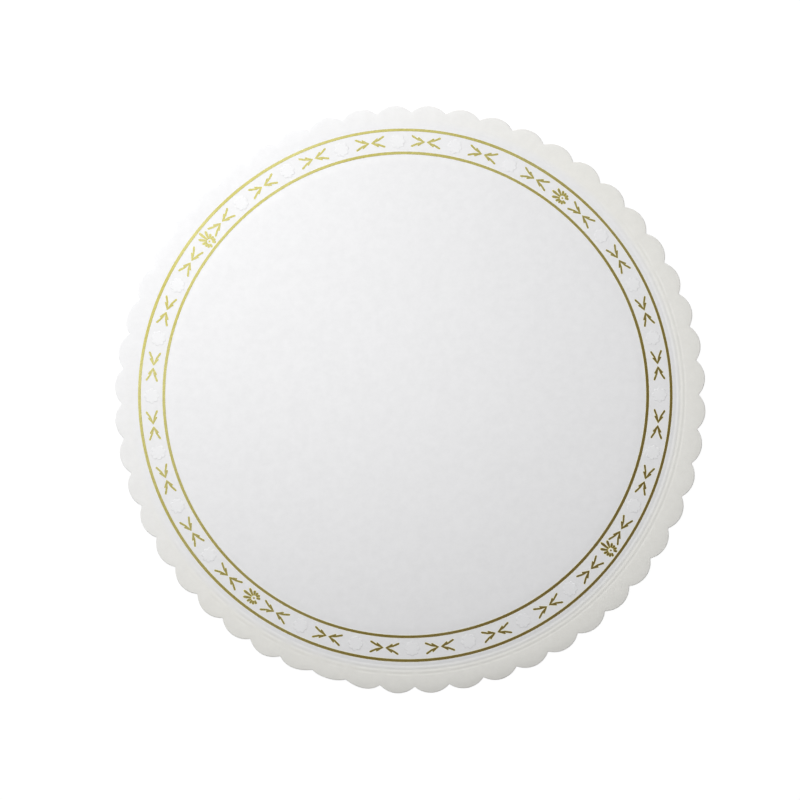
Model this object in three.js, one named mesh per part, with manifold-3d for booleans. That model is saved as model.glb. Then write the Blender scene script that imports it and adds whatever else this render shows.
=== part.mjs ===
// A round cake board: one sheet of pressed white card with a scalloped edge, and a band of gold foil
// stamped around the ground that the cake stands on. Millimetres, +Z up, X to the right and Y to the
// top as the board is seen from above. The origin is on the underside, in the middle of the scallops.
import * as THREE from "three";
import { mergeVertices } from "three/addons/utils/BufferGeometryUtils.js";
import Module from "manifold-3d";

const wasm = await Module();
wasm.setup();

// Outline of the sheet
const crestDiameter = 254;
const sheetThickness = 1.5;
const scallopCount = 52;
const scallopDepth = 3;
const firstValleyAngle = 0.9;

// The scallops that have been bent stand out less from the valleys beside them: place and depth
const bentScallops = new Map([
  [35, 1.8],
  [36, 1.7],
  [37, 2.3],
]);

// Edge: the cutter presses a soft margin along the scallops, and the rim turns down towards it
const marginWidth = 2.2;
const marginDrop = 0.4;
const rimTurnWidth = 6;
const rimTurnDrop = 0.3;

// Gold lines: the band lies a little off the middle of the sheet, as it was cut
const bandShift = new THREE.Vector2(-2.4, 1.8);
const outerLineInset = 12.9;
const bandWidth = 10.1;
const lineWidth = 1.4;
const foilThickness = 0.06;

// Ground: it stands above the band, so that a cake touches no foil
const groundAboveFoil = 0.06;
const groundInset = 0.4;
const groundStepWidth = 0.5;

// Fine grooves pressed around the band
const grooveCount = 3;
const firstGrooveGap = 2.2;
const groovePitch = 1.95;
const grooveWidth = 1.5;
const grooveDepth = 0.1;

// Sprigs: two forked twigs, apex to apex, along the band. Their places repeat every half turn
const sprigAngles = [6.8, 19.3, 32.6, 45.7, 59, 72.1, 85.3, 97.9, 111.1, 124.2, 136.7, 148, 160.5, 173.5];
const twigReachAngle = 3.2;
const twigToLine = 1.8;
const twigWidth = 0.75;
const barbReach = 3.2;
const barbSpread = 1.8;
const waistLength = 1;
const waistWidth = 0.3;

// Daisies: places for twelve petals, the longest to the upper left and the one facing it left bare
const daisyAngles = [52.2, 141.8, 232.5, 323];
const petalPlaces = 12;
const longPetalAngle = 142;
const longPetalToLine = 0.2;
const shortPetal = 2.85;
const petalWidth = 0.8;
const petalRoot = 1.7;
const petalTaper = 2.5;
const eyeRadius = 0.45;
const eyeClearance = 0.8;
const eyeOffset = 1.45;

// Rosettes pressed blind, without foil, between the sprigs
const rosetteRadius = 2.8;
const rosetteRise = 0.05;
const rosetteLobes = 8;
const lobeDepth = 0.45;

// How finely curves are cut into straight pieces
const circleSegments = 96;
const scallopSegments = 3;
const marginSegments = 2;
const rimTurnSteps = 3;
const eyeSegments = 10;

const degrees = Math.PI / 180;
const crestRadius = crestDiameter / 2;
const valleyRadius = crestRadius - scallopDepth;
const outerLineRadius = crestRadius - outerLineInset;
const innerLineRadius = outerLineRadius - bandWidth;
const bandRadius = (innerLineRadius + outerLineRadius) / 2;
const groundRadius = innerLineRadius - lineWidth / 2 - groundInset;
const bandLevel = sheetThickness - foilThickness - groundAboveFoil;
const lineToMiddle = (bandWidth - lineWidth) / 2;
const twigReach = bandRadius * twigReachAngle * degrees;
const twigSpread = lineToMiddle - twigToLine - twigWidth / 2;
const longPetal = lineToMiddle - longPetalToLine + eyeOffset;

// How far the press forms reach past the sheet that they cut
const spare = 2;

const card = new THREE.MeshStandardMaterial({ color: "#e9e9e8", roughness: 0.55, metalness: 0 });
const gold = new THREE.MeshStandardMaterial({ color: "#b59a3c", roughness: 0.35, metalness: 1 });

// Joining and cutting solids

function solidOf(geometry) {
  const bare = geometry.index ? geometry.toNonIndexed() : geometry.clone();
  bare.deleteAttribute("normal");
  bare.deleteAttribute("uv");
  const merged = mergeVertices(bare, 1e-4);
  return new wasm.Manifold(
    new wasm.Mesh({
      numProp: 3,
      vertProperties: merged.attributes.position.array,
      triVerts: new Uint32Array(merged.index.array),
    }),
  );
}

function geometryOf(solid) {
  const mesh = solid.getMesh();
  const geometry = new THREE.BufferGeometry();
  geometry.setAttribute("position", new THREE.BufferAttribute(mesh.vertProperties, 3));
  geometry.setIndex(new THREE.BufferAttribute(mesh.triVerts, 1));
  geometry.computeVertexNormals();
  return geometry;
}

function polar(radius, angle) {
  return new THREE.Vector2(radius * Math.cos(angle * degrees), radius * Math.sin(angle * degrees));
}

// A solid of revolution about +Z. The profile holds radius and height, from the axis at the bottom
// outwards and back to the axis at the top.
function turned(profile) {
  const points = profile.map(([radius, height]) => new THREE.Vector2(radius, height));
  return new THREE.LatheGeometry(points, circleSegments).rotateX(Math.PI / 2);
}

// Outline of the sheet: one arc for each scallop, through two valleys and the crest between them
function sheetShape() {
  const shape = new THREE.Shape();
  const pitch = 360 / scallopCount;
  const halfChord = valleyRadius * Math.sin((pitch / 2) * degrees);
  const chordRadius = valleyRadius * Math.cos((pitch / 2) * degrees);
  for (let i = 0; i < scallopCount; i++) {
    const middle = firstValleyAngle + (i + 0.5) * pitch;
    const crest = valleyRadius + (bentScallops.get(i) ?? scallopDepth);
    const rise = crest - chordRadius;
    const arcRadius = (halfChord ** 2 + rise ** 2) / (2 * rise);
    const centre = polar(crest - arcRadius, middle);
    const sweep = Math.atan2(halfChord, chordRadius - (crest - arcRadius));
    const facing = middle * degrees;
    shape.absarc(centre.x, centre.y, arcRadius, facing - sweep, facing + sweep, false);
  }
  return shape;
}

// The sheet before it is pressed, with the soft margin along its edge
function cutSheet() {
  const wallTop = bandLevel - marginDrop;
  const geometry = new THREE.ExtrudeGeometry(sheetShape(), {
    depth: spare + wallTop,
    bevelThickness: sheetThickness - wallTop,
    bevelSize: marginWidth,
    bevelOffset: -marginWidth,
    bevelSegments: marginSegments,
    curveSegments: scallopSegments,
  });
  return geometry.translate(0, 0, -spare);
}

// What the press leaves of the sheet around the band: the raised ground, the band and the grooves
function bandForm() {
  const profile = [
    [0, 0],
    [crestRadius + bandShift.length() + spare, 0],
    [crestRadius + bandShift.length() + spare, bandLevel],
  ];
  for (let i = grooveCount - 1; i >= 0; i--) {
    const middle = outerLineRadius + firstGrooveGap + i * groovePitch;
    profile.push([middle + grooveWidth / 2, bandLevel]);
    profile.push([middle, bandLevel - grooveDepth]);
    profile.push([middle - grooveWidth / 2, bandLevel]);
  }
  profile.push([groundRadius, bandLevel]);
  profile.push([groundRadius - groundStepWidth, sheetThickness]);
  profile.push([0, sheetThickness]);
  return turned(profile).translate(bandShift.x, bandShift.y, 0);
}

// What the press leaves of the rim, which turns down towards the scallops
function rimForm() {
  const start = crestRadius - rimTurnWidth;
  const edge = bandLevel - rimTurnDrop;
  const turn = [];
  for (let i = rimTurnSteps; i >= 0; i--) {
    const share = i / rimTurnSteps;
    turn.push([start + rimTurnWidth * share, bandLevel - rimTurnDrop * share ** 2]);
  }
  return turned([
    [0, 0],
    [crestRadius + spare, 0],
    [crestRadius + spare, edge],
    ...turn,
    [start, sheetThickness + spare],
    [0, sheetThickness + spare],
  ]);
}

// One rosette: a low disc with a lobed edge, rooted in the sheet
function rosette() {
  const pitch = 360 / rosetteLobes;
  const outline = [];
  for (let i = 0; i < rosetteLobes; i++) {
    outline.push(polar(rosetteRadius - lobeDepth, i * pitch));
    outline.push(polar(rosetteRadius, (i + 0.5) * pitch));
  }
  const shape = new THREE.Shape(outline);
  const root = bandLevel / 2;
  const geometry = new THREE.ExtrudeGeometry(shape, { depth: root + rosetteRise, bevelEnabled: false });
  return geometry.translate(0, 0, bandLevel - root);
}

// The angles of the whole turn, from those of its first half
function fullTurn(angles) {
  return [...angles, ...angles.map((angle) => angle + 180)];
}

// A rosette lies midway between two sprigs that have no daisy between them
function rosetteAngles() {
  const sprigs = fullTurn(sprigAngles);
  const middles = [];
  sprigs.forEach((from, i) => {
    const to = sprigs[i + 1] ?? sprigs[0] + 360;
    const daisyBetween = daisyAngles.some((angle) => angle > from && angle < to);
    if (!daisyBetween) middles.push((from + to) / 2);
  });
  return middles;
}

function board() {
  let solid = solidOf(cutSheet()).intersect(solidOf(bandForm())).intersect(solidOf(rimForm()));
  const pressed = solidOf(rosette());
  for (const angle of rosetteAngles()) {
    const place = polar(bandRadius, angle).add(bandShift);
    solid = solid.add(pressed.rotate([0, 0, angle]).translate([place.x, place.y, 0]));
  }
  return new THREE.Mesh(geometryOf(solid), card);
}

// A flat piece of foil, lying on the band
function foil(shape, curveSegments) {
  const geometry = new THREE.ExtrudeGeometry(shape, {
    depth: foilThickness,
    bevelEnabled: false,
    curveSegments,
  });
  return new THREE.Mesh(geometry, gold);
}

function line(radius) {
  const shape = new THREE.Shape().absarc(0, 0, radius + lineWidth / 2, 0, 2 * Math.PI);
  shape.holes.push(new THREE.Path().absarc(0, 0, radius - lineWidth / 2, 0, 2 * Math.PI));
  return foil(shape, circleSegments / 2);
}

// One quarter of a sprig, from its waist out along the barbed side of the twig and back inside the fork
function twigQuarter() {
  const apex = waistLength / 2;
  const slope = twigSpread / (twigReach - apex);
  const half = twigWidth / 2;
  const stemAt = (reach, offset) => new THREE.Vector2(reach, (reach - apex) * slope + offset);
  return [
    new THREE.Vector2(apex, waistWidth / 2),
    new THREE.Vector2(barbReach - half, barbSpread - half / 2),
    new THREE.Vector2(barbReach, barbSpread),
    stemAt(barbReach + half, half),
    stemAt(twigReach - half, half),
    stemAt(twigReach, 0),
    stemAt(twigReach - half / 2, -half),
  ];
}

function sprigShape() {
  const quarter = twigQuarter();
  const fork = new THREE.Vector2(waistLength / 2 + twigWidth, 0);
  const mirrored = (x, y) => quarter.map((point) => new THREE.Vector2(point.x * x, point.y * y));
  return new THREE.Shape([
    ...mirrored(1, 1),
    fork,
    ...mirrored(1, -1).reverse(),
    ...mirrored(-1, -1),
    fork.clone().negate(),
    ...mirrored(-1, 1).reverse(),
  ]);
}

// Petals around a ring, with the eye's round opening in the middle
function daisyShape() {
  const outline = [];
  const pitch = 360 / petalPlaces;
  const half = petalWidth / 2;
  for (let i = 0; i < petalPlaces; i++) {
    const angle = longPetalAngle + i * pitch;
    outline.push(polar(petalRoot, angle - pitch / 2));
    if (i === petalPlaces / 2) continue;
    const lean = Math.max(0, Math.cos(i * pitch * degrees)) ** petalTaper;
    const tip = shortPetal + (longPetal - shortPetal) * lean;
    for (const [along, aside] of [[tip - half, -half], [tip, -half / 2], [tip, half / 2], [tip - half, half]]) {
      outline.push(new THREE.Vector2(along, aside).rotateAround(new THREE.Vector2(), angle * degrees));
    }
  }
  const shape = new THREE.Shape(outline);
  shape.holes.push(new THREE.Path().absarc(0, 0, eyeRadius + eyeClearance, 0, 2 * Math.PI, true));
  return shape;
}

function eyeShape() {
  return new THREE.Shape().absarc(0, 0, eyeRadius, 0, 2 * Math.PI);
}

const cakeBoard = new THREE.Group();

const sheet = board();
sheet.name = "board";
cakeBoard.add(sheet);

const band = new THREE.Group();
band.position.set(bandShift.x, bandShift.y, bandLevel);
cakeBoard.add(band);

function place(mesh, name, x, y, turn) {
  mesh.name = name;
  mesh.position.set(x, y, 0);
  mesh.rotation.z = turn;
  band.add(mesh);
}

place(line(outerLineRadius), "gold_line_outer", 0, 0, 0);
place(line(innerLineRadius), "gold_line_inner", 0, 0, 0);

fullTurn(sprigAngles).forEach((angle, i) => {
  const middle = polar(bandRadius, angle);
  const number = String(i + 1).padStart(2, "0");
  place(foil(sprigShape()), "gold_sprig_" + number, middle.x, middle.y, (angle + 90) * degrees);
});

daisyAngles.forEach((angle, i) => {
  const middle = polar(bandRadius, angle).sub(polar(eyeOffset, longPetalAngle));
  place(foil(daisyShape(), eyeSegments / 2), "gold_daisy_" + (i + 1), middle.x, middle.y, 0);
  place(foil(eyeShape(), eyeSegments / 2), "gold_daisy_eye_" + (i + 1), middle.x, middle.y, 0);
});

export default cakeBoard;
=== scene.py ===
import bmesh
import bpy
import math
import numpy as np
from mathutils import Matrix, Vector


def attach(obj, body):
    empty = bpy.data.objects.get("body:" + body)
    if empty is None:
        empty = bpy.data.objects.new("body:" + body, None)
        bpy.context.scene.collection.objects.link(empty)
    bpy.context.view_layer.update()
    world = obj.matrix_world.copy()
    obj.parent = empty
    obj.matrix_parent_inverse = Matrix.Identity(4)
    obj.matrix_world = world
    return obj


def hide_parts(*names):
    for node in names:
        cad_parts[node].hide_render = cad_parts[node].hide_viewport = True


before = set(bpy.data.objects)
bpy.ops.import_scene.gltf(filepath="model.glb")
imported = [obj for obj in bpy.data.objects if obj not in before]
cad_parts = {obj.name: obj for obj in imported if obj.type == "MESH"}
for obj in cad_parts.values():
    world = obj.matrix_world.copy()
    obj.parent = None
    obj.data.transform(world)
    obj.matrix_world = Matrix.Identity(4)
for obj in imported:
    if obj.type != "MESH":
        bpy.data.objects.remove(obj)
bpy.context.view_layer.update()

# THE SHEET
# One round sheet of white card about a millimetre and a half thick, clay coated on top. It is cut
# with 52 scallops and pressed in one stroke: the ground for the cake stands up, the band round it
# lies lower, three fine grooves run outside the band, and the rim turns down to a soft margin.

mm = 0.001
crest_radius = 127 * mm
valley_radius = 124 * mm
scallops = 52
first_valley = math.radians(0.9)
print_middle = Vector((-2.4, 1.8)) * mm
band_level = 1.38
ground_level = 1.5

groove_depth = 0.066
groove_half_width = 0.9
groove_half_steps = 4

# One row of the sheet's section: distance from the middle of the print, least distance in from the
# scallops, and height, in millimetres. A row follows whichever of the two lies further in. With a
# radius of "far" it keeps to the scallops, and with an inset of "far" it shrinks to the middle. A
# groove is pressed only where its rows follow the print with room to spare, so it runs out beside
# the rim.
far = 1000
ground_inset = 9
inset_share = 0.55
section = [(0, far, ground_level)]
section += [(radius, ground_inset, ground_level) for radius in (34, 68, 99.5)]
section += [(radius, ground_inset, height) for radius, height in (
    (100.3, 1.497), (101, 1.475), (101.7, 1.44), (102.4, 1.405),
    (102.9, 1.388), (103.2, 1.381), (103.6, band_level))]
section += [(radius, inset, band_level) for radius, inset in ((106.5, 8.1), (110, 7.9), (113.5, 7.5))]
grooves = {}
for groove, inset in ((116.3, 6.4), (118.25, 5.2), (120.2, 4)):
    for step in range(-groove_half_steps, groove_half_steps + 1):
        across = step / groove_half_steps
        grooves[len(section)] = groove_depth * math.cos(across * math.pi / 2) ** 2
        section.append((groove + across * groove_half_width, inset - across * inset_share, band_level))
section += [(far, inset, height) for inset, height in (
    (3.1, 1.38), (2.5, 1.38), (2, 1.38), (1.7, 1.376), (1.45, 1.366), (1.2, 1.358), (0.9, 1.354),
    (0.6, 1.348), (0.36, 1.335), (0.2, 1.305), (0.1, 1.25), (0.04, 1.16), (0.01, 1.03),
    (0, 0.75), (0, 0.35), (0.03, 0.15), (0.1, 0.06), (0.22, 0.015), (0.4, 0), (2, 0))]
section += [(80, ground_inset, 0), (34, ground_inset, 0), (0, far, 0)]

profile = bpy.data.meshes.new("sheet_section")
profile.from_pydata(
    [Vector(row) * mm for row in section], [(i, i + 1) for i in range(len(section) - 1)], [])
pressed = profile.attributes.new("groove", "FLOAT", "POINT").data
for row, depth in grooves.items():
    pressed[row].value = depth * mm
sheet_maker = bpy.data.objects.new("sheet_maker", profile)
bpy.context.collection.objects.link(sheet_maker)


def put(tree, kind, inputs=None, **settings):
    """Adds a node. Each input is a value, or an output of another node to link."""
    new = tree.nodes.new(kind)
    for name, value in settings.items():
        setattr(new, name, value)
    for place, value in (inputs or {}).items():
        if isinstance(value, bpy.types.NodeSocket):
            tree.links.new(value, new.inputs[place])
        else:
            new.inputs[place].default_value = value
    return new


turning = bpy.data.node_groups.new("Pressed Scalloped Sheet", "GeometryNodeTree")
for name, kind in (
    ("Section", "NodeSocketGeometry"), ("Sectors", "NodeSocketInt"), ("Scallops", "NodeSocketFloat"),
    ("First Valley", "NodeSocketFloat"), ("Valley Radius", "NodeSocketFloat"),
    ("Arc Middle", "NodeSocketFloat"), ("Arc Radius", "NodeSocketFloat"),
    ("Print Middle", "NodeSocketVector"), ("Rim Radius", "NodeSocketFloat"),
    ("Rim Width", "NodeSocketFloat"), ("Rim Fall", "NodeSocketFloat"), ("Bend Angle", "NodeSocketFloat"),
    ("Bend Reach", "NodeSocketFloat"), ("Bend Share", "NodeSocketFloat"),
    ("Droop Angle", "NodeSocketFloat"), ("Droop Reach", "NodeSocketFloat"),
    ("Droop Fall", "NodeSocketFloat"), ("Groove Gone", "NodeSocketFloat"),
    ("Groove Full", "NodeSocketFloat"), ("Card", "NodeSocketMaterial"),
):
    turning.interface.new_socket(name, in_out="INPUT", socket_type=kind)
turning.interface.new_socket("Sheet", in_out="OUTPUT", socket_type="NodeSocketGeometry")
given = turning.nodes.new("NodeGroupInput").outputs

rows = put(
    turning, "GeometryNodeAttributeDomainSize", {0: given["Section"]},
    component="MESH").outputs["Point Count"]
columns = put(turning, "ShaderNodeMath", {0: given["Sectors"], 1: 1}, operation="ADD").outputs[0]
grid = put(
    turning, "GeometryNodeMeshGrid",
    {"Size X": 1, "Size Y": 1, "Vertices X": columns, "Vertices Y": rows}).outputs["Mesh"]
index = turning.nodes.new("GeometryNodeInputIndex").outputs[0]
column = put(turning, "ShaderNodeMath", {0: index, 1: rows}, operation="DIVIDE").outputs[0]
column = put(turning, "ShaderNodeMath", {0: column}, operation="FLOOR").outputs[0]
row = put(turning, "ShaderNodeMath", {0: index, 1: rows}, operation="MODULO").outputs[0]
place = turning.nodes.new("GeometryNodeInputPosition").outputs[0]
sampled = put(
    turning, "GeometryNodeSampleIndex", {"Geometry": given["Section"], "Index": row},
    data_type="FLOAT_VECTOR")
turning.links.new(place, sampled.inputs["Value"])
row_at = put(turning, "ShaderNodeSeparateXYZ", {0: sampled.outputs[0]}).outputs
groove = put(
    turning, "GeometryNodeInputNamedAttribute", {"Name": "groove"}, data_type="FLOAT").outputs["Attribute"]
groove = put(
    turning, "GeometryNodeSampleIndex", {"Geometry": given["Section"], "Value": groove, "Index": row},
    data_type="FLOAT").outputs[0]

# Round the sheet: the angle of each column, and where the scallops' arcs stand at that angle
turn = put(turning, "ShaderNodeMath", {0: column, 1: given["Sectors"]}, operation="DIVIDE").outputs[0]
angle = put(turning, "ShaderNodeMath", {0: turn, 1: math.tau}, operation="MULTIPLY").outputs[0]
cosine = put(turning, "ShaderNodeMath", {0: angle}, operation="COSINE").outputs[0]
sine = put(turning, "ShaderNodeMath", {0: angle}, operation="SINE").outputs[0]
pitch = put(turning, "ShaderNodeMath", {0: math.tau, 1: given["Scallops"]}, operation="DIVIDE").outputs[0]
from_valley = put(
    turning, "ShaderNodeMath", {0: angle, 1: given["First Valley"]}, operation="SUBTRACT").outputs[0]
counted = put(turning, "ShaderNodeMath", {0: from_valley, 1: pitch}, operation="DIVIDE").outputs[0]
within = put(turning, "ShaderNodeMath", {0: counted}, operation="FRACT").outputs[0]
off_crest = put(turning, "ShaderNodeMath", {0: within, 1: 0.5}, operation="SUBTRACT").outputs[0]
off_crest = put(turning, "ShaderNodeMath", {0: off_crest, 1: pitch}, operation="MULTIPLY").outputs[0]
along = put(turning, "ShaderNodeMath", {0: off_crest}, operation="COSINE").outputs[0]
along = put(turning, "ShaderNodeMath", {0: along, 1: given["Arc Middle"]}, operation="MULTIPLY").outputs[0]
aside = put(turning, "ShaderNodeMath", {0: off_crest}, operation="SINE").outputs[0]
aside = put(turning, "ShaderNodeMath", {0: aside, 1: given["Arc Middle"]}, operation="MULTIPLY").outputs[0]
aside = put(turning, "ShaderNodeMath", {0: aside, 1: 2}, operation="POWER").outputs[0]
chord = put(turning, "ShaderNodeMath", {0: given["Arc Radius"], 1: 2}, operation="POWER").outputs[0]
chord = put(turning, "ShaderNodeMath", {0: chord, 1: aside}, operation="SUBTRACT").outputs[0]
chord = put(turning, "ShaderNodeMath", {0: chord}, operation="SQRT").outputs[0]
arc = put(turning, "ShaderNodeMath", {0: along, 1: chord}, operation="ADD").outputs[0]

# The scallops that have been bent stand out less
bend = put(turning, "ShaderNodeMath", {0: angle, 1: given["Bend Angle"]}, operation="SUBTRACT").outputs[0]
bend = put(turning, "ShaderNodeMath", {0: bend}, operation="ABSOLUTE").outputs[0]
bend = put(
    turning, "ShaderNodeMapRange",
    {"Value": bend, "From Min": given["Bend Reach"], "From Max": 0, "To Min": 0, "To Max": 1},
    interpolation_type="SMOOTHSTEP").outputs[0]
stand = put(turning, "ShaderNodeMath", {0: arc, 1: given["Valley Radius"]}, operation="SUBTRACT").outputs[0]
loss = put(turning, "ShaderNodeMath", {0: bend, 1: given["Bend Share"]}, operation="MULTIPLY").outputs[0]
keep = put(turning, "ShaderNodeMath", {0: 1, 1: loss}, operation="SUBTRACT").outputs[0]
stand = put(turning, "ShaderNodeMath", {0: stand, 1: keep}, operation="MULTIPLY").outputs[0]
outline = put(turning, "ShaderNodeMath", {0: given["Valley Radius"], 1: stand}, operation="ADD").outputs[0]

# Where a circle round the middle of the print crosses this angle
middle = put(turning, "ShaderNodeSeparateXYZ", {0: given["Print Middle"]}).outputs
lean_x = put(turning, "ShaderNodeMath", {0: cosine, 1: middle["X"]}, operation="MULTIPLY").outputs[0]
lean_y = put(turning, "ShaderNodeMath", {0: sine, 1: middle["Y"]}, operation="MULTIPLY").outputs[0]
lean = put(turning, "ShaderNodeMath", {0: lean_x, 1: lean_y}, operation="ADD").outputs[0]
shift = put(
    turning, "ShaderNodeVectorMath", {0: given["Print Middle"]}, operation="LENGTH").outputs["Value"]
shift = put(turning, "ShaderNodeMath", {0: shift, 1: 2}, operation="POWER").outputs[0]
reach = put(turning, "ShaderNodeMath", {0: row_at["X"], 1: 2}, operation="POWER").outputs[0]
reach = put(turning, "ShaderNodeMath", {0: reach, 1: shift}, operation="SUBTRACT").outputs[0]
lean_square = put(turning, "ShaderNodeMath", {0: lean, 1: 2}, operation="POWER").outputs[0]
reach = put(turning, "ShaderNodeMath", {0: reach, 1: lean_square}, operation="ADD").outputs[0]
reach = put(turning, "ShaderNodeMath", {0: reach}, operation="SQRT").outputs[0]
circle = put(turning, "ShaderNodeMath", {0: lean, 1: reach}, operation="ADD").outputs[0]
inside = put(turning, "ShaderNodeMath", {0: outline, 1: row_at["Y"]}, operation="SUBTRACT").outputs[0]
spare = put(turning, "ShaderNodeMath", {0: inside, 1: circle}, operation="SUBTRACT").outputs[0]
clear = put(
    turning, "ShaderNodeMapRange",
    {"Value": spare, "From Min": given["Groove Gone"], "From Max": given["Groove Full"]},
    interpolation_type="SMOOTHSTEP").outputs[0]
radius = put(turning, "ShaderNodeMath", {0: circle, 1: inside}, operation="MINIMUM").outputs[0]
radius = put(turning, "ShaderNodeMath", {0: radius, 1: 0}, operation="MAXIMUM").outputs[0]

# The rim falls away outside its own radius, more on the side where it droops
droop = put(turning, "ShaderNodeMath", {0: angle, 1: given["Droop Angle"]}, operation="SUBTRACT").outputs[0]
droop = put(turning, "ShaderNodeMath", {0: droop}, operation="ABSOLUTE").outputs[0]
droop = put(
    turning, "ShaderNodeMapRange",
    {"Value": droop, "From Min": given["Droop Reach"], "From Max": 0, "To Min": 0, "To Max": 1},
    interpolation_type="SMOOTHSTEP").outputs[0]
fall = put(turning, "ShaderNodeMath", {0: radius, 1: given["Rim Radius"]}, operation="SUBTRACT").outputs[0]
fall = put(turning, "ShaderNodeMath", {0: fall, 1: given["Rim Width"]}, operation="DIVIDE").outputs[0]
fall = put(turning, "ShaderNodeMath", {0: fall, 1: 0}, operation="MAXIMUM").outputs[0]
fall = put(turning, "ShaderNodeMath", {0: fall, 1: 2}, operation="POWER").outputs[0]
more = put(
    turning, "ShaderNodeMath", {0: droop, 1: given["Droop Fall"], 2: given["Rim Fall"]},
    operation="MULTIPLY_ADD").outputs[0]
fall = put(turning, "ShaderNodeMath", {0: fall, 1: more}, operation="MULTIPLY").outputs[0]
left = put(turning, "ShaderNodeMath", {0: 1, 1: fall}, operation="SUBTRACT").outputs[0]
height = put(turning, "ShaderNodeMath", {0: groove, 1: clear}, operation="MULTIPLY").outputs[0]
height = put(turning, "ShaderNodeMath", {0: row_at["Z"], 1: height}, operation="SUBTRACT").outputs[0]
height = put(turning, "ShaderNodeMath", {0: height, 1: left}, operation="MULTIPLY").outputs[0]

x = put(turning, "ShaderNodeMath", {0: radius, 1: cosine}, operation="MULTIPLY").outputs[0]
y = put(turning, "ShaderNodeMath", {0: radius, 1: sine}, operation="MULTIPLY").outputs[0]
where = put(turning, "ShaderNodeCombineXYZ", {0: x, 1: y, 2: height}).outputs[0]
placed = put(turning, "GeometryNodeSetPosition", {"Geometry": grid, "Position": where}).outputs[0]
closed = put(turning, "GeometryNodeMergeByDistance", {"Geometry": placed, "Distance": 0.00001}).outputs[0]
smooth = put(turning, "GeometryNodeSetShadeSmooth", {"Geometry": closed}).outputs[0]
real = put(turning, "GeometryNodeRealizeInstances", {"Geometry": smooth}).outputs[0]
finished = put(turning, "GeometryNodeSetMaterial", {"Geometry": real, "Material": given["Card"]}).outputs[0]
put(turning, "NodeGroupOutput", {0: finished})


def linear(colour):
    """A colour written as sRGB hex, such as "e9e9e8", in the linear values that a shader takes."""
    parts = [int(colour[i:i + 2], 16) / 255 for i in (0, 2, 4)]
    return [c / 12.92 if c <= 0.04045 else ((c + 0.055) / 1.055) ** 2.4 for c in parts] + [1]


# Clay-coated white card, pressed in a steel die: a soft satin white, with the cloudy grain of the
# pulp under the coating. The rim is tinted a little warm, partly its own tone and partly painted
# bounce light: the tint is left off at the upper left, the side that faces the lamp. The cut edge
# and the back are bare pulp.
card = bpy.data.materials.new("clay_coated_card")
card.use_nodes = True
card.node_tree.nodes.clear()
tree = card.node_tree
here = tree.nodes.new("ShaderNodeTexCoord").outputs["Object"]
centred = put(
    tree, "ShaderNodeMapping",
    {"Vector": here, "Location": (-print_middle.x, -print_middle.y, 0), "Scale": (1, 1, 0)}).outputs[0]
out_from = put(tree, "ShaderNodeVectorMath", {0: centred}, operation="LENGTH").outputs["Value"]
rim_tint_and_painted_bounce = put(
    tree, "ShaderNodeMapRange", {"Value": out_from, "From Min": 0.116, "From Max": 0.119}).outputs[0]
# Painted bounce light: the rim's warm tint fades out towards the upper left, where the lamp falls
painted_bounce_side = put(
    tree, "ShaderNodeVectorMath", {0: here, 1: (0.77, -0.64, 0)}, operation="DOT_PRODUCT").outputs["Value"]
painted_bounce_side = put(tree, "ShaderNodeMapRange", {"Value": painted_bounce_side, "From Min": -0.11, "From Max": -0.01}).outputs[0]
rim_tint_and_painted_bounce = put(tree, "ShaderNodeMath", {0: rim_tint_and_painted_bounce, 1: painted_bounce_side}, operation="MULTIPLY").outputs[0]
clouds = put(
    tree, "ShaderNodeTexNoise", {"Vector": here, "Scale": 330, "Detail": 3, "Roughness": 0.6}).outputs[0]
clouds = put(tree, "ShaderNodeMapRange", {"Value": clouds, "From Min": 0.3, "From Max": 0.7}).outputs[0]
white = put(
    tree, "ShaderNodeMix", {"Factor": clouds, "A": linear("e8e8e9"), "B": linear("ececed")},
    data_type="RGBA").outputs[2]
rim = put(
    tree, "ShaderNodeMix", {"Factor": clouds, "A": linear("ebeae5"), "B": linear("efeee9")},
    data_type="RGBA").outputs[2]
coat = put(tree, "ShaderNodeMix", {"Factor": rim_tint_and_painted_bounce, "A": white, "B": rim}, data_type="RGBA").outputs[2]
# Painted sheen: the rosettes are painted a trace whiter the higher they rise
painted_sheen = put(tree, "ShaderNodeAttribute", attribute_name="painted_sheen").outputs["Fac"]
coat = put(
    tree, "ShaderNodeMix", {"Factor": painted_sheen, "A": coat, "B": linear("ededee")},
    data_type="RGBA").outputs[2]
height = put(tree, "ShaderNodeSeparateXYZ", {0: here}).outputs["Z"]
bare = put(tree, "ShaderNodeMapRange", {"Value": height, "From Min": 0.0009, "From Max": 0.0006}).outputs[0]
layers = put(tree, "ShaderNodeMapping", {"Vector": here, "Scale": (500, 500, 6000)}).outputs[0]
layers = put(
    tree, "ShaderNodeTexNoise", {"Vector": layers, "Scale": 1, "Detail": 3, "Roughness": 0.6}).outputs[0]
pulp = put(
    tree, "ShaderNodeMix", {"Factor": layers, "A": linear("c9c5bb"), "B": linear("e6e3db")},
    data_type="RGBA").outputs[2]
colour = put(tree, "ShaderNodeMix", {"Factor": bare, "A": coat, "B": pulp}, data_type="RGBA").outputs[2]
waves = put(
    tree, "ShaderNodeTexNoise", {"Vector": here, "Scale": 45, "Detail": 2, "Roughness": 0.5}).outputs[0]
swell = put(tree, "ShaderNodeBump", {"Strength": 1, "Distance": 0.00012, "Height": waves}).outputs[0]
grain = put(
    tree, "ShaderNodeTexNoise", {"Vector": here, "Scale": 420, "Detail": 4, "Roughness": 0.62}).outputs[0]
relief = put(
    tree, "ShaderNodeBump",
    {"Strength": 1, "Distance": 0.00003, "Height": grain, "Normal": swell}).outputs[0]
gloss = put(
    tree, "ShaderNodeMapRange",
    {"Value": grain, "From Min": 0.3, "From Max": 0.7, "To Min": 0.46, "To Max": 0.56}).outputs[0]
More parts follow.
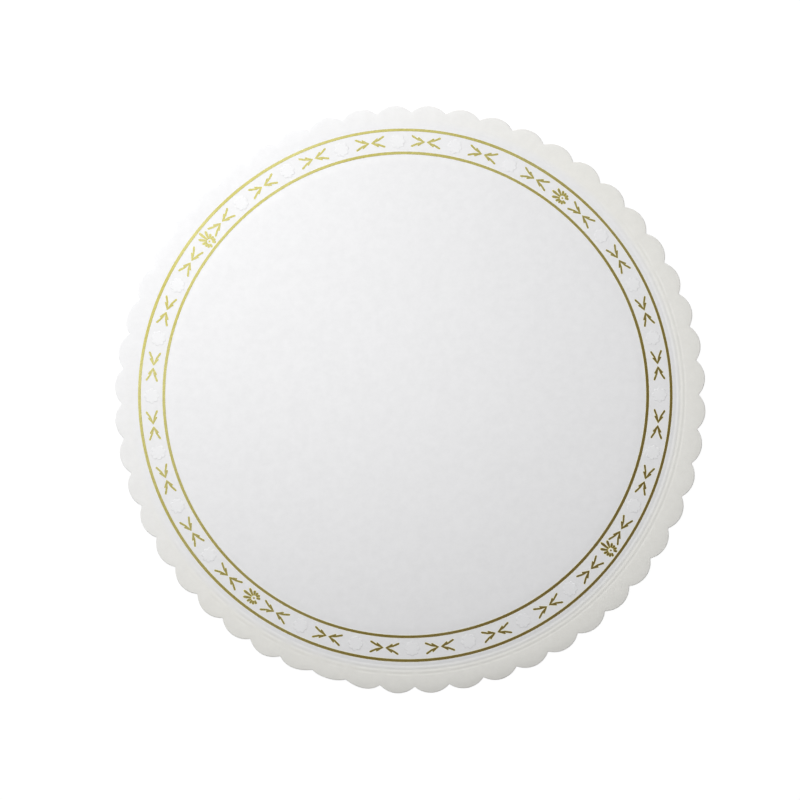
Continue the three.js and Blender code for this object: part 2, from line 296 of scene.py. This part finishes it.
matt = put(tree, "ShaderNodeMix", {"Factor": bare, "A": gloss, "B": 0.85}, data_type="FLOAT").outputs[0]
surface = put(
    tree, "ShaderNodeBsdfPrincipled",
    {"Base Color": colour, "Roughness": matt, "Normal": relief}).outputs[0]
put(tree, "ShaderNodeOutputMaterial", {"Surface": surface})

columns_per_scallop = 24

# A scallop is an arc: it passes through two valleys and the crest between them
half_pitch = math.pi / scallops
arc_middle = (crest_radius ** 2 - valley_radius ** 2) / (
    2 * (crest_radius - valley_radius * math.cos(half_pitch)))


def evaluate(maker, tree, **inputs):
    """Gives an object a tree with these inputs, and returns the plain mesh that the tree makes."""
    modifier = maker.modifiers.new(tree.name, "NODES")
    modifier.node_group = tree
    sockets = {item.name: item.identifier for item in tree.interface.items_tree if item.in_out == "INPUT"}
    for name, value in inputs.items():
        modifier[sockets[name.replace("_", " ").title()]] = value
    made = bpy.data.meshes.new_from_object(maker.evaluated_get(bpy.context.evaluated_depsgraph_get()))
    maker.modifiers.remove(modifier)
    bpy.data.objects.remove(maker)
    shell = bmesh.new()
    shell.from_mesh(made)
    bmesh.ops.remove_doubles(shell, verts=shell.verts, dist=1e-7)
    bmesh.ops.recalc_face_normals(shell, faces=shell.faces)
    shell.to_mesh(made)
    shell.free()
    return made


sheet_mesh = evaluate(
    sheet_maker, turning, sectors=scallops * columns_per_scallop, scallops=float(scallops),
    first_valley=first_valley, valley_radius=valley_radius,
    arc_middle=arc_middle, arc_radius=crest_radius - arc_middle,
    print_middle=(print_middle.x, print_middle.y, 0),
    rim_radius=120 * mm, rim_width=7 * mm, rim_fall=0.12,
    bend_angle=first_valley + 36.5 * math.tau / scallops, bend_reach=math.radians(14), bend_share=0.5,
    droop_angle=math.radians(282), droop_reach=math.radians(50), droop_fall=0.3,
    groove_gone=1.2 * mm, groove_full=4.2 * mm, card=card)

# The press has left the sheet a little out of round. At each radius, in millimetres: how far the
# card stands out, as its mean and then the cosine and sine parts of each order round the sheet.
ovals = {
    95: [0] * 11,
    104: [0.06, 0.33, -0.03, 0.01, -0.12, 0.02, -0.15, 0.11, 0.09, 0.01, 0.09],
    114: [0.01, 0.12, -0.20, 0.03, -0.21, 0.01, -0.15, 0.24, 0.14, 0, 0.13],
    123: [0, -0.26, 0.04, 0.32, 0.06, 0, 0, 0, 0, 0, 0],
}
# The scallops have also crept round the sheet by up to a degree, in the same kind of parts. Nothing
# creeps inside the first radius, and all of it does outside the second.
creep = [-0.29, 0.13, -0.44, 0.25, -0.01]
creep_from = 116 * mm
creep_full = 122 * mm


def waves_round(parts, angles):
    """The sum of a mean and the cosine and sine parts of each order, at these angles."""
    total = np.full_like(angles, parts[0])
    for order in range(1, len(parts) // 2 + 1):
        total += parts[2 * order - 1] * np.cos(order * angles) + parts[2 * order] * np.sin(order * angles)
    return total


def out_of_round(mesh):
    """Moves a mesh with the card that it is part of or lies on."""
    spots = np.empty(len(mesh.vertices) * 3)
    mesh.vertices.foreach_get("co", spots)
    spots = spots.reshape(-1, 3)
    reach = np.hypot(spots[:, 0], spots[:, 1])
    angles = np.arctan2(spots[:, 1], spots[:, 0])
    radii = np.array(sorted(ovals)) * mm
    stands = np.array([waves_round(ovals[radius], angles) for radius in sorted(ovals)]) * mm
    share = np.clip((reach[None, :] - radii[:-1, None]) / (radii[1:] - radii[:-1])[:, None], 0, 1)
    moved = reach + stands[0] + (share * (stands[1:] - stands[:-1])).sum(0)
    creeping = np.clip((reach - creep_from) / (creep_full - creep_from), 0, 1)
    turned = angles + np.radians(waves_round(creep, angles)) * creeping
    spots[:, 0] = moved * np.cos(turned)
    spots[:, 1] = moved * np.sin(turned)
    mesh.vertices.foreach_set("co", spots.ravel())
    mesh.update()


out_of_round(sheet_mesh)
sheet = bpy.data.objects.new("pressed_sheet", sheet_mesh)
bpy.context.collection.objects.link(sheet)
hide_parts("board")
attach(sheet, "root")

# GOLD LINES
# Two rings of gold foil, stamped hot on either side of the band. Each is a thin strip that lies on
# the card, flat on top, with narrow rounded shoulders where the die's edge has drawn it down.

line_radii = {"gold_line_outer": 114.1, "gold_line_inner": 104.0}
line_width = 1.24
line_steps = 720
foil = 0.06

# Hot stamping foil, gold coloured: a bright thin metal that drifts between two pale yellows, takes
# its darks from the ceiling that it mirrors, and is broken up a little by the card's grain under it.
gold = bpy.data.materials.new("hot_stamped_gold_foil")
gold.use_nodes = True
gold.node_tree.nodes.clear()
tree = gold.node_tree
here = tree.nodes.new("ShaderNodeTexCoord").outputs["Object"]
drift = put(
    tree, "ShaderNodeTexNoise", {"Vector": here, "Scale": 22, "Detail": 2, "Roughness": 0.5}).outputs[0]
drift = put(tree, "ShaderNodeMapRange", {"Value": drift, "From Min": 0.35, "From Max": 0.65}).outputs[0]
fleck = put(
    tree, "ShaderNodeTexNoise", {"Vector": here, "Scale": 900, "Detail": 2, "Roughness": 0.6}).outputs[0]
tone = put(
    tree, "ShaderNodeMix", {"Factor": drift, "A": linear("e9e085"), "B": linear("f6f0a2")},
    data_type="RGBA").outputs[2]
relief = put(tree, "ShaderNodeBump", {"Strength": 1, "Distance": 0.000012, "Height": fleck}).outputs[0]
surface = put(
    tree, "ShaderNodeBsdfPrincipled",
    {"Base Color": tone, "Metallic": 1, "Roughness": 0.12, "Normal": relief}).outputs[0]
put(tree, "ShaderNodeOutputMaterial", {"Surface": surface})

for name, line_radius in line_radii.items():
    across = [(-0.5, 0), (-0.495, 0.4), (-0.485, 0.78), (-0.47, 0.94), (-0.45, 1)]
    across += [(-a, b) for a, b in reversed(across)]
    strip = bmesh.new()
    ring = [
        strip.verts.new(((line_radius + a * line_width) * mm, 0, (band_level + b * foil) * mm))
        for a, b in across]
    edges = [strip.edges.new((a, b)) for a, b in zip(ring, ring[1:] + ring[:1])]
    bmesh.ops.spin(
        strip, geom=ring + edges, cent=(0, 0, 0), axis=(0, 0, 1), angle=math.tau, steps=line_steps)
    bmesh.ops.remove_doubles(strip, verts=strip.verts, dist=1e-7)
    bmesh.ops.translate(strip, verts=strip.verts, vec=(print_middle.x, print_middle.y, 0))
    bmesh.ops.recalc_face_normals(strip, faces=strip.faces)
    strip_mesh = bpy.data.meshes.new(name + "_foil")
    strip.to_mesh(strip_mesh)
    strip.free()
    for face in strip_mesh.polygons:
        face.use_smooth = face.normal.z < 0.99
    out_of_round(strip_mesh)
    strip_mesh.materials.append(gold)
    line = bpy.data.objects.new(name + "_foil", strip_mesh)
    bpy.context.collection.objects.link(line)
    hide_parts(name)
    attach(line, "root")

# SPRIGS AND DAISIES
# The stamped ornament of the band: 28 sprigs of two forked twigs each, apex to apex, with four
# daisies among them. Each patch is a leaf of foil that the die has pressed on to the card.

placing = bpy.data.node_groups.new("Patches Round The Band", "GeometryNodeTree")
for name, kind in (
    ("Places", "NodeSocketGeometry"), ("Patch", "NodeSocketObject"), ("Finish", "NodeSocketMaterial"),
):
    placing.interface.new_socket(name, in_out="INPUT", socket_type=kind)
placing.interface.new_socket("Patches", in_out="OUTPUT", socket_type="NodeSocketGeometry")
given = placing.nodes.new("NodeGroupInput").outputs
patch = put(
    placing, "GeometryNodeObjectInfo", {"Object": given["Patch"], "As Instance": True}).outputs["Geometry"]
points = put(placing, "GeometryNodeMeshToPoints", {"Mesh": given["Places"]}).outputs[0]
turned = put(
    placing, "GeometryNodeInputNamedAttribute", {"Name": "turn"}, data_type="FLOAT").outputs["Attribute"]
turned = put(placing, "ShaderNodeCombineXYZ", {2: turned}).outputs[0]
sized = put(
    placing, "GeometryNodeInputNamedAttribute", {"Name": "size"},
    data_type="FLOAT_VECTOR").outputs["Attribute"]
spread = put(
    placing, "GeometryNodeInstanceOnPoints",
    {"Points": points, "Instance": patch, "Rotation": turned, "Scale": sized}).outputs[0]
real = put(placing, "GeometryNodeRealizeInstances", {"Geometry": spread}).outputs[0]
finished = put(
    placing, "GeometryNodeSetMaterial", {"Geometry": real, "Material": given["Finish"]}).outputs[0]
put(placing, "NodeGroupOutput", {0: finished})


def leaf(name, outline, *steps):
    """A thin patch with this outline, in millimetres. Its edge lies on the card. Each step brings
    its top further in and up: the first rises straight from the edge. The top and the upright edge
    stay flat, and what lies between them is shaded round."""
    patch = bmesh.new()
    face = patch.faces.new([patch.verts.new((x * mm, y * mm, 0)) for x, y in outline])
    if face.normal.z < 0:
        face.normal_flip()
    top = bmesh.ops.extrude_face_region(patch, geom=[face])["geom"]
    raised = [f for f in top if isinstance(f, bmesh.types.BMFace)]
    rise = steps[0][1]
    bmesh.ops.translate(
        patch, verts=[v for v in top if isinstance(v, bmesh.types.BMVert)], vec=(0, 0, rise * mm))
    bmesh.ops.recalc_face_normals(patch, faces=patch.faces)
    for inset, height in steps[1:]:
        bmesh.ops.inset_region(patch, faces=raised, thickness=inset * mm, depth=0, use_even_offset=True)
        bmesh.ops.translate(
            patch, verts=list({v for f in raised for v in f.verts}), vec=(0, 0, (height - rise) * mm))
        rise = height
    for face in patch.faces:
        upright = abs(face.normal.z) < 0.2
        face.smooth = face not in raised and not upright
    mesh = bpy.data.meshes.new(name)
    patch.to_mesh(mesh)
    patch.free()
    made = bpy.data.objects.new(name, mesh)
    bpy.context.collection.objects.link(made)
    made.hide_render = True
    return made


def places(name, spots):
    """Points with a turn and a size each, for patches to be set on."""
    mesh = bpy.data.meshes.new(name)
    mesh.from_pydata([spot for spot, _, _ in spots], [], [])
    mesh.attributes.new("turn", "FLOAT", "POINT").data.foreach_set("value", [turn for _, turn, _ in spots])
    mesh.attributes.new("size", "FLOAT_VECTOR", "POINT").data.foreach_set(
        "vector", [c for _, _, size in spots for c in size])
    maker = bpy.data.objects.new(name, mesh)
    bpy.context.collection.objects.link(maker)
    return maker


def on_band(radius, degrees):
    """A point on the band, this far from the middle of the print, in millimetres."""
    out = Vector((math.cos(math.radians(degrees)), math.sin(math.radians(degrees)), 0))
    return print_middle.to_3d() + out * radius * mm + Vector((0, 0, band_level * mm))


band_radius = 109.05
foil_edge = 0.03
sprig_angles = [6.8, 19.3, 32.6, 45.7, 59, 72.1, 85.3, 97.9, 111.1, 124.2, 136.7, 148, 160.5, 173.5]
sprig_angles += [angle + 180 for angle in sprig_angles]

# One twig points along +X: a leaf on either side runs from the apex to its barb, and a stem from
# inside the barb to the tip
twig_side = [
    (0.42, 0.12), (1.75, 1.02), (3.02, 1.92), (3.42, 1.94), (3.52, 1.66), (3.5, 1.38), (5.55, 2.52),
    (6.02, 2.62), (6.36, 2.34), (6.28, 1.94), (5.95, 1.68), (3.72, 0.54), (2.6, 0.24), (1.75, 0)]
twig_outline = twig_side + [(x, -y) for x, y in reversed(twig_side[:-1])]
twig = leaf("twig_leaf", twig_outline, (0, foil_edge), (0.06, foil))
spots = []
for angle in sprig_angles:
    for flip in (90, 270):
        spots.append((on_band(band_radius, angle), math.radians(angle + flip), (1, 1, 1)))
sprig_mesh = evaluate(places("sprig_places", spots), placing, patch=twig, finish=gold)
bpy.data.objects.remove(twig)
out_of_round(sprig_mesh)
sprigs = bpy.data.objects.new("gold_sprigs", sprig_mesh)
bpy.context.collection.objects.link(sprigs)
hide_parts(*[f"gold_sprig_{i:02d}" for i in range(1, 29)])
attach(sprigs, "root")

# A daisy's petals are separate leaves. The longest reaches to the upper left, the one facing it is bare
daisy_angles = [52.2, 141.8, 232.5, 323]
daisy_lean = 142
daisy_offset = Vector(
    (math.cos(math.radians(daisy_lean)), math.sin(math.radians(daisy_lean)), 0)) * 1.45 * mm
petals = 12
bare_petal = 6
petal_root = 1.05
shortest_tip = 2.85
longest_tip = 5.6
petal_outline = [
    (0, 0.2), (0.1, 0.32), (0.5, 0.48), (0.75, 0.5), (0.9, 0.42), (1, 0.14), (1, -0.14), (0.9, -0.42),
    (0.75, -0.5), (0.5, -0.48), (0.1, -0.32), (0, -0.2)]
petal = leaf("petal_leaf", petal_outline, (0, foil_edge), (0.05, foil))
spots = []
for daisy in daisy_angles:
    heart = on_band(band_radius, daisy) - daisy_offset
    for i in range(petals):
        if i == bare_petal:
            continue
        off_lean = i * math.tau / petals
        turn = math.radians(daisy_lean) + off_lean
        grown = max(0, math.cos(off_lean)) ** 2.5
        length = shortest_tip + (longest_tip - shortest_tip) * grown - petal_root
        foot = heart + Vector((math.cos(turn), math.sin(turn), 0)) * petal_root * mm
        spots.append((foot, turn, (length, 1.12 + 0.1 * grown, 1)))
daisy_mesh = evaluate(places("petal_places", spots), placing, patch=petal, finish=gold)
bpy.data.objects.remove(petal)
out_of_round(daisy_mesh)
daisies = bpy.data.objects.new("gold_daisies", daisy_mesh)
bpy.context.collection.objects.link(daisies)
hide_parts(*[f"gold_daisy_{i}" for i in range(1, 5)])
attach(daisies, "root")

# The dot in a daisy's middle
dot_radius = 0.45
dot_turns = [i * math.tau / 16 for i in range(16)]
dot_outline = [(dot_radius * math.cos(turn), dot_radius * math.sin(turn)) for turn in dot_turns]
dot = leaf("dot_leaf", dot_outline, (0, foil_edge), (0.05, foil))
spots = [(on_band(band_radius, daisy) - daisy_offset, 0, (1, 1, 1)) for daisy in daisy_angles]
eye_mesh = evaluate(places("dot_places", spots), placing, patch=dot, finish=gold)
bpy.data.objects.remove(dot)
out_of_round(eye_mesh)
eyes = bpy.data.objects.new("gold_daisy_eyes", eye_mesh)
bpy.context.collection.objects.link(eyes)
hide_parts(*[f"gold_daisy_eye_{i}" for i in range(1, 5)])
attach(eyes, "root")

# BLIND ROSETTES
# Between the sprigs the die has pressed 24 small rosettes with no foil. They stand up by a few
# thousandths of a millimetre, and the card on them is painted a trace whiter towards their tops:
# a painted sheen of the pressed card.

rosette_angles = [
    (before + after) / 2 for before, after in zip(sprig_angles, sprig_angles[1:] + [sprig_angles[0] + 360])
    if not any(before < daisy < after for daisy in daisy_angles)]
rosette_core = 2.5
rosette_lobes = 8
lobe_reach = 0.7
rosette_rise = 0.005
rosette_outline = []
for turn in [i * math.tau / 96 for i in range(96)]:
    reach = rosette_core + lobe_reach * abs(math.cos(rosette_lobes / 2 * turn)) ** 0.7
    rosette_outline.append((reach * math.cos(turn), reach * math.sin(turn)))
rosette = leaf("rosette", rosette_outline, (0, 0.0005), (0.2, 0.002), (0.2, 0.0035), (0.2, rosette_rise))
spots = [(on_band(band_radius, angle), math.radians(angle), (1, 1, 1)) for angle in rosette_angles]
rosette_mesh = evaluate(places("rosette_places", spots), placing, patch=rosette, finish=card)
# Painted sheen: each rosette point is painted whiter by how far it has risen
painted_sheen = rosette_mesh.attributes.new("painted_sheen", "FLOAT", "POINT")
risen = [(spot.co.z / mm - band_level) / rosette_rise for spot in rosette_mesh.vertices]
painted_sheen.data.foreach_set("value", [min(1, share) for share in risen])
bpy.data.objects.remove(rosette)
out_of_round(rosette_mesh)
rosettes = bpy.data.objects.new("blind_rosettes", rosette_mesh)
bpy.context.collection.objects.link(rosettes)
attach(rosettes, "root")

# THE FLOOR AND THE LIGHT
# A white floor that takes a faint shadow, a soft lamp to the upper left, a weaker one overhead and a
# pale room. The foil mirrors the room's ceiling, and takes its darks from the dim spot there.

floor_mesh = bpy.data.meshes.new("floor")
floor_mesh.from_pydata([(-3, -3, 0), (3, -3, 0), (3, 3, 0), (-3, 3, 0)], [], [(0, 1, 2, 3)])
floor = bpy.data.objects.new("floor", floor_mesh)
floor.location.z = -0.00005
bpy.context.collection.objects.link(floor)
paper = bpy.data.materials.new("white_backdrop_paper")
paper.use_nodes = True
paper.node_tree.nodes.clear()
tree = paper.node_tree
seen = tree.nodes.new("ShaderNodeLightPath").outputs
plain = put(tree, "ShaderNodeBsdfDiffuse", {"Color": (0.8, 0.8, 0.8, 1)}).outputs[0]
glow = put(tree, "ShaderNodeEmission", {"Color": (1, 1, 1, 1), "Strength": 0.93}).outputs[0]
shade = put(tree, "ShaderNodeBsdfDiffuse", {"Color": (0.15, 0.15, 0.15, 1)}).outputs[0]
shown = put(tree, "ShaderNodeAddShader", {0: glow, 1: shade}).outputs[0]
surface = put(tree, "ShaderNodeMixShader", {0: seen["Is Camera Ray"], 1: plain, 2: shown}).outputs[0]
put(tree, "ShaderNodeOutputMaterial", {"Surface": surface})
floor_mesh.materials.append(paper)

room = bpy.data.worlds.new("pale_room")
bpy.context.scene.world = room
room.use_nodes = True
room.node_tree.nodes.clear()
tree = room.node_tree
seen = tree.nodes.new("ShaderNodeLightPath").outputs
background = put(
    tree, "ShaderNodeMath", {0: seen["Is Camera Ray"], 1: seen["Is Glossy Ray"]},
    operation="MAXIMUM").outputs[0]
background = put(
    tree, "ShaderNodeMath", {0: background, 1: seen["Is Transmission Ray"]}, operation="MAXIMUM").outputs[0]
# The walls are white all round. The ceiling is dim and brown in one spot, and whitens outwards from
# it, slowly at first.
towards = tree.nodes.new("ShaderNodeTexCoord").outputs["Generated"]
tilt, side = math.radians(20), math.radians(317)
brown_within, white_beyond = math.radians(12.5), math.radians(25.8)
dim_spot = (math.sin(tilt) * math.cos(side), math.sin(tilt) * math.sin(side), math.cos(tilt))
facing = put(
    tree, "ShaderNodeVectorMath", {0: towards, 1: dim_spot}, operation="DOT_PRODUCT").outputs["Value"]
apart = put(tree, "ShaderNodeMath", {0: facing}, operation="ARCCOSINE").outputs[0]
walls = put(
    tree, "ShaderNodeMapRange",
    {"Value": apart, "From Min": brown_within, "From Max": white_beyond}).outputs[0]
walls = put(tree, "ShaderNodeMath", {0: walls, 1: 3.5}, operation="POWER").outputs[0]
walls = put(
    tree, "ShaderNodeMix", {"Factor": walls, "A": (0.15, 0.112, 0.086, 1), "B": (1, 1, 1, 1)},
    data_type="RGBA").outputs[2]
walls = put(
    tree, "ShaderNodeMix", {"Factor": background, "A": (0.2, 0.2, 0.2, 1), "B": walls},
    data_type="RGBA").outputs[2]
sky = put(tree, "ShaderNodeBackground", {"Color": walls, "Strength": 1}).outputs[0]
put(tree, "ShaderNodeOutputWorld", {"Surface": sky})

# Each lamp: its distance in metres, its elevation and azimuth in degrees, its sides and its power
lamps = {
    "window_lamp": (0.6, 32, 128, (0.3, 0.3), 3.15),
    "ceiling_lamp": (0.27, 90, 0, (0.4, 0.1), 0.335),
}
for name, (distance, elevation, azimuth, size, power) in lamps.items():
    lamp_data = bpy.data.lights.new(name, "AREA")
    lamp_data.shape = "RECTANGLE"
    lamp_data.size, lamp_data.size_y = size
    lamp_data.energy = power
    lamp = bpy.data.objects.new(name, lamp_data)
    level, up = distance * math.cos(math.radians(elevation)), distance * math.sin(math.radians(elevation))
    lamp.location = (level * math.cos(math.radians(azimuth)), level * math.sin(math.radians(azimuth)), up)
    lamp.rotation_euler = (-lamp.location).to_track_quat("-Z", "Y").to_euler()
    lamp.visible_camera = False
    lamp.visible_glossy = False
    bpy.context.collection.objects.link(lamp)

# THE CAMERA
# It looks straight down from 1.2 metres, with the board's middle a little right of its own. The
# picture spans 344 mm of the band's plane.

picture_span = 344.4 * mm
eye = bpy.data.cameras.new("camera")
eye.lens = 125
eye.sensor_width = 36
camera = bpy.data.objects.new("camera", eye)
camera.location = (-4.6 * mm, -0.2 * mm, picture_span * eye.lens / eye.sensor_width + 1.4 * mm)
bpy.context.collection.objects.link(camera)
bpy.context.scene.camera = camera
bpy.context.scene.view_settings.view_transform = "Standard"
